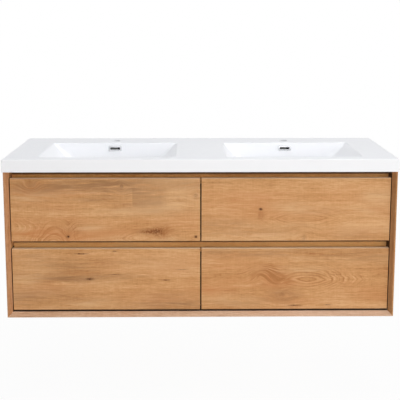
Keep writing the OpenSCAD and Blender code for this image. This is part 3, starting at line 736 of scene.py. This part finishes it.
heads = []
for sign in (-1, 1):
    for bracket_y in BRACKETS_Y:
        for dy in BRACKET_PAIR:
            y = bracket_y + dy
            heads.append(screw((sign * BRACKET_LEG_X, y, BRACKET_LEG_SCREW_Z), (-sign, 0, 0), BRACKET_SCREW))
            heads.append(screw((sign * BRACKET_ARM_SCREW_X, y, BRACKET_ARM_Z), (0, 0, -1), BRACKET_SCREW))
    for plate_z in WALL_PLATES_Z:
        for dx in WALL_PLATE_PAIR:
            for dz in WALL_PLATE_PAIR:
                place = (sign * WALL_PLATE_X + dx, WALL_PLATE_FACE, plate_z + dz)
                heads.append(screw(place, (0, -1, 0), WALL_PLATE_SCREW))
piece("cabinet_screws", "cabinet", zinc, heads, True)

for level in ("upper", "lower"):
    for side_name, sign in (("left", -1), ("right", 1)):
        quarter = level + "_" + side_name
        heads, caps = [], []
        for y in RUNNER_SCREWS_Y:
            for x, toward in ((WALL_X + RUNNER_WIDTH - SHEET, -sign), (INNER_X - RUNNER_WIDTH + SHEET, sign)):
                heads.append(screw((sign * x, y, RUNNER_Z[level]), (toward, 0, 0), RUNNER_SCREW))
        for z in CAPS_Z[level]:
            for x, toward in ((BOX_INNER, sign), (BOX_OUTER, -sign)):
                caps.append(cover_cap((sign * x, CAPS_Y, z), (toward, 0, 0)))
        piece("runner_screws_" + quarter, "drawer_" + quarter, zinc, heads, True)
        piece("cover_caps_" + quarter, "drawer_" + quarter, cap_white, caps, True)

# Dark sheets of painted shade inside each overflow duct, darker at its right end, as in the photo
for side_name, x in OVERFLOW_X.items():
    for name, sign, (left, right), plastic in (
            ("overflow_duct_shade_", -1, (-DUCT_SHADE_HALF, DUCT_SHADE_SPLIT), duct_shade_grey),
            ("overflow_duct_shade_end_", 1, (DUCT_SHADE_SPLIT, DUCT_SHADE_HALF), duct_shade_dark)):
        side_left, side_right = sorted(x + sign * edge for edge in DUCT_SHADE_SIDE_X)
        boxes = ((x + left, x + right, DUCT_SHADE_BACK_Y), (side_left, side_right, DUCT_SHADE_SIDE_Y))
        forms = [plate((x0, y0, DUCT_SHADE_Z[0]), (x1, y1, DUCT_SHADE_Z[1]), DUCT_SHADE_EASE) for x0, x1, (y0, y1) in boxes]
        piece(name + side_name, "cabinet", plastic, forms, False)


# ---- Floor and surroundings ----

FLOOR_DROP = 0.40
FLOOR_REACH = 40.0
FLOOR_WHITE = (0.96, 0.96, 0.96, 1.0)
FLOOR_GLOW_NEAR, FLOOR_GLOW_FAR = 0.95, 1.0
FLOOR_SHADOW_NEAR, FLOOR_SHADOW_FAR = 1.2, 3.2
AMBIENT, AMBIENT_STRENGTH = (0.97, 0.985, 1.0, 1.0), 0.104
WHITE = (1.0, 1.0, 1.0, 1.0)


def seen_directly(tree):
    """1 for what the camera, a reflection or clear material sees of the surroundings."""
    path = tree.nodes.new("ShaderNodeLightPath")
    most = path.outputs["Is Camera Ray"]
    for name in ("Is Glossy Ray", "Is Transmission Ray"):
        larger = tree.nodes.new("ShaderNodeMath")
        larger.operation = "MAXIMUM"
        tree.links.new(most, larger.inputs[0])
        tree.links.new(path.outputs[name], larger.inputs[1])
        most = larger.outputs[0]
    return most


def two_looks(tree, output, share, hidden, seen):
    """Joins two shaders in one output: hidden where share is 0, seen where it is 1."""
    out, both = tree.nodes.new(output), tree.nodes.new("ShaderNodeMixShader")
    tree.links.new(share, both.inputs[0])
    tree.links.new(hidden.outputs[0], both.inputs[1])
    tree.links.new(seen.outputs[0], both.inputs[2])
    tree.links.new(both.outputs[0], out.inputs[0])


def floor_white():
    """Matt floor that takes the shadow. What is seen of it glows, and fully so away from the object."""
    paint = bpy.data.materials.new("floor_white")
    paint.use_nodes = True
    tree = paint.node_tree
    tree.nodes.clear()
    matt, glow = tree.nodes.new("ShaderNodeBsdfDiffuse"), tree.nodes.new("ShaderNodeEmission")
    matt.inputs[0].default_value = FLOOR_WHITE
    glow.inputs[1].default_value = 1.0
    reach = tree.nodes.new("ShaderNodeVectorMath")
    reach.operation = "LENGTH"
    tree.links.new(tree.nodes.new("ShaderNodeTexCoord").outputs["Object"], reach.inputs[0])
    whiter = tree.nodes.new("ShaderNodeMapRange")
    whiter.interpolation_type = "SMOOTHSTEP"
    tree.links.new(reach.outputs["Value"], whiter.inputs[0])
    limits = (FLOOR_SHADOW_NEAR, FLOOR_SHADOW_FAR, FLOOR_GLOW_NEAR, FLOOR_GLOW_FAR)
    for socket, value in zip(list(whiter.inputs)[1:5], limits):
        socket.default_value = value
    share = tree.nodes.new("ShaderNodeMath")
    share.operation = "MULTIPLY"
    tree.links.new(seen_directly(tree), share.inputs[0])
    tree.links.new(whiter.outputs[0], share.inputs[1])
    two_looks(tree, "ShaderNodeOutputMaterial", share.outputs[0], matt, glow)
    return paint


floor_z = CAD_BOX[0].z - FLOOR_DROP
corners = [(x * FLOOR_REACH, y * FLOOR_REACH, floor_z) for x, y in ((-1, -1), (1, -1), (1, 1), (-1, 1))]
floor_mesh = bpy.data.meshes.new("floor")
floor_mesh.from_pydata(corners, [], [(0, 1, 2, 3)])
floor_mesh.materials.append(floor_white())
stand("floor", floor_mesh)

world = bpy.data.worlds.new("studio")
bpy.context.scene.world = world
world.use_nodes = True
world.node_tree.nodes.clear()
dim, white = (world.node_tree.nodes.new("ShaderNodeBackground") for _ in range(2))
dim.inputs[0].default_value, dim.inputs[1].default_value = AMBIENT, AMBIENT_STRENGTH
white.inputs[0].default_value, white.inputs[1].default_value = WHITE, 1.0
two_looks(world.node_tree, "ShaderNodeOutputWorld", seen_directly(world.node_tree), dim, white)


# ---- Lamps and camera ----

# Name, place, aim, side of the square, power in watts, and whether gloss shows it
LAMPS = (
    ("key", (1.70, -6.80, 2.14), (0.0, -0.45, -0.25), 2.8, 148.0, False),
    ("low_front", (0.3, -6.5, 0.5), (0.0, -0.45, -0.25), 2.5, 62.0, True),
    ("right", (5.5, -2.2, 2.2), (0.0, -0.3, 0.0), 3.0, 112.0, False),
    ("overhead", (0.2, -0.8, 3.2), (0.0, -0.25, 0.0), 2.4, 64.0, True),
    ("left", (-5.0, -3.6, 1.6), (0.0, -0.3, -0.1), 3.0, 18.0, True),
    ("rear", (-2.2, 2.8, 1.4), (0.0, 0.0, -0.2), 2.4, 36.0, False),
)
for name, place, aim, size, power, in_gloss in LAMPS:
    data = bpy.data.lights.new(name, "AREA")
    data.shape, data.size, data.energy = "SQUARE", size, power
    lamp = stand(name, data)
    lamp.location = place
    lamp.rotation_mode = "QUATERNION"
    lamp.rotation_quaternion = (Vector(aim) - Vector(place)).to_track_quat("-Z", "Y")
    lamp.visible_glossy = in_gloss

CAMERA_PLACE = (-0.0302, -3.3018, 0.6276)
PITCH_DOWN, YAW, ROLL = 7.609, -0.636, 0.032
SENSOR_WIDTH, LENS = 36.0, 68.23
SHIFT_X, SHIFT_Y = -0.003, -0.21
camera_data = bpy.data.cameras.new("camera")
camera_data.sensor_width, camera_data.lens = SENSOR_WIDTH, LENS
camera_data.shift_x, camera_data.shift_y = SHIFT_X, SHIFT_Y
camera = stand("camera", camera_data)
turn = Matrix.Rotation(math.radians(YAW), 4, "Z") @ Matrix.Rotation(math.radians(90.0 - PITCH_DOWN), 4, "X")
camera.matrix_world = Matrix.Translation(CAMERA_PLACE) @ turn @ Matrix.Rotation(math.radians(ROLL), 4, "Z")
bpy.context.scene.camera = camera
bpy.context.scene.view_settings.view_transform = "Standard"
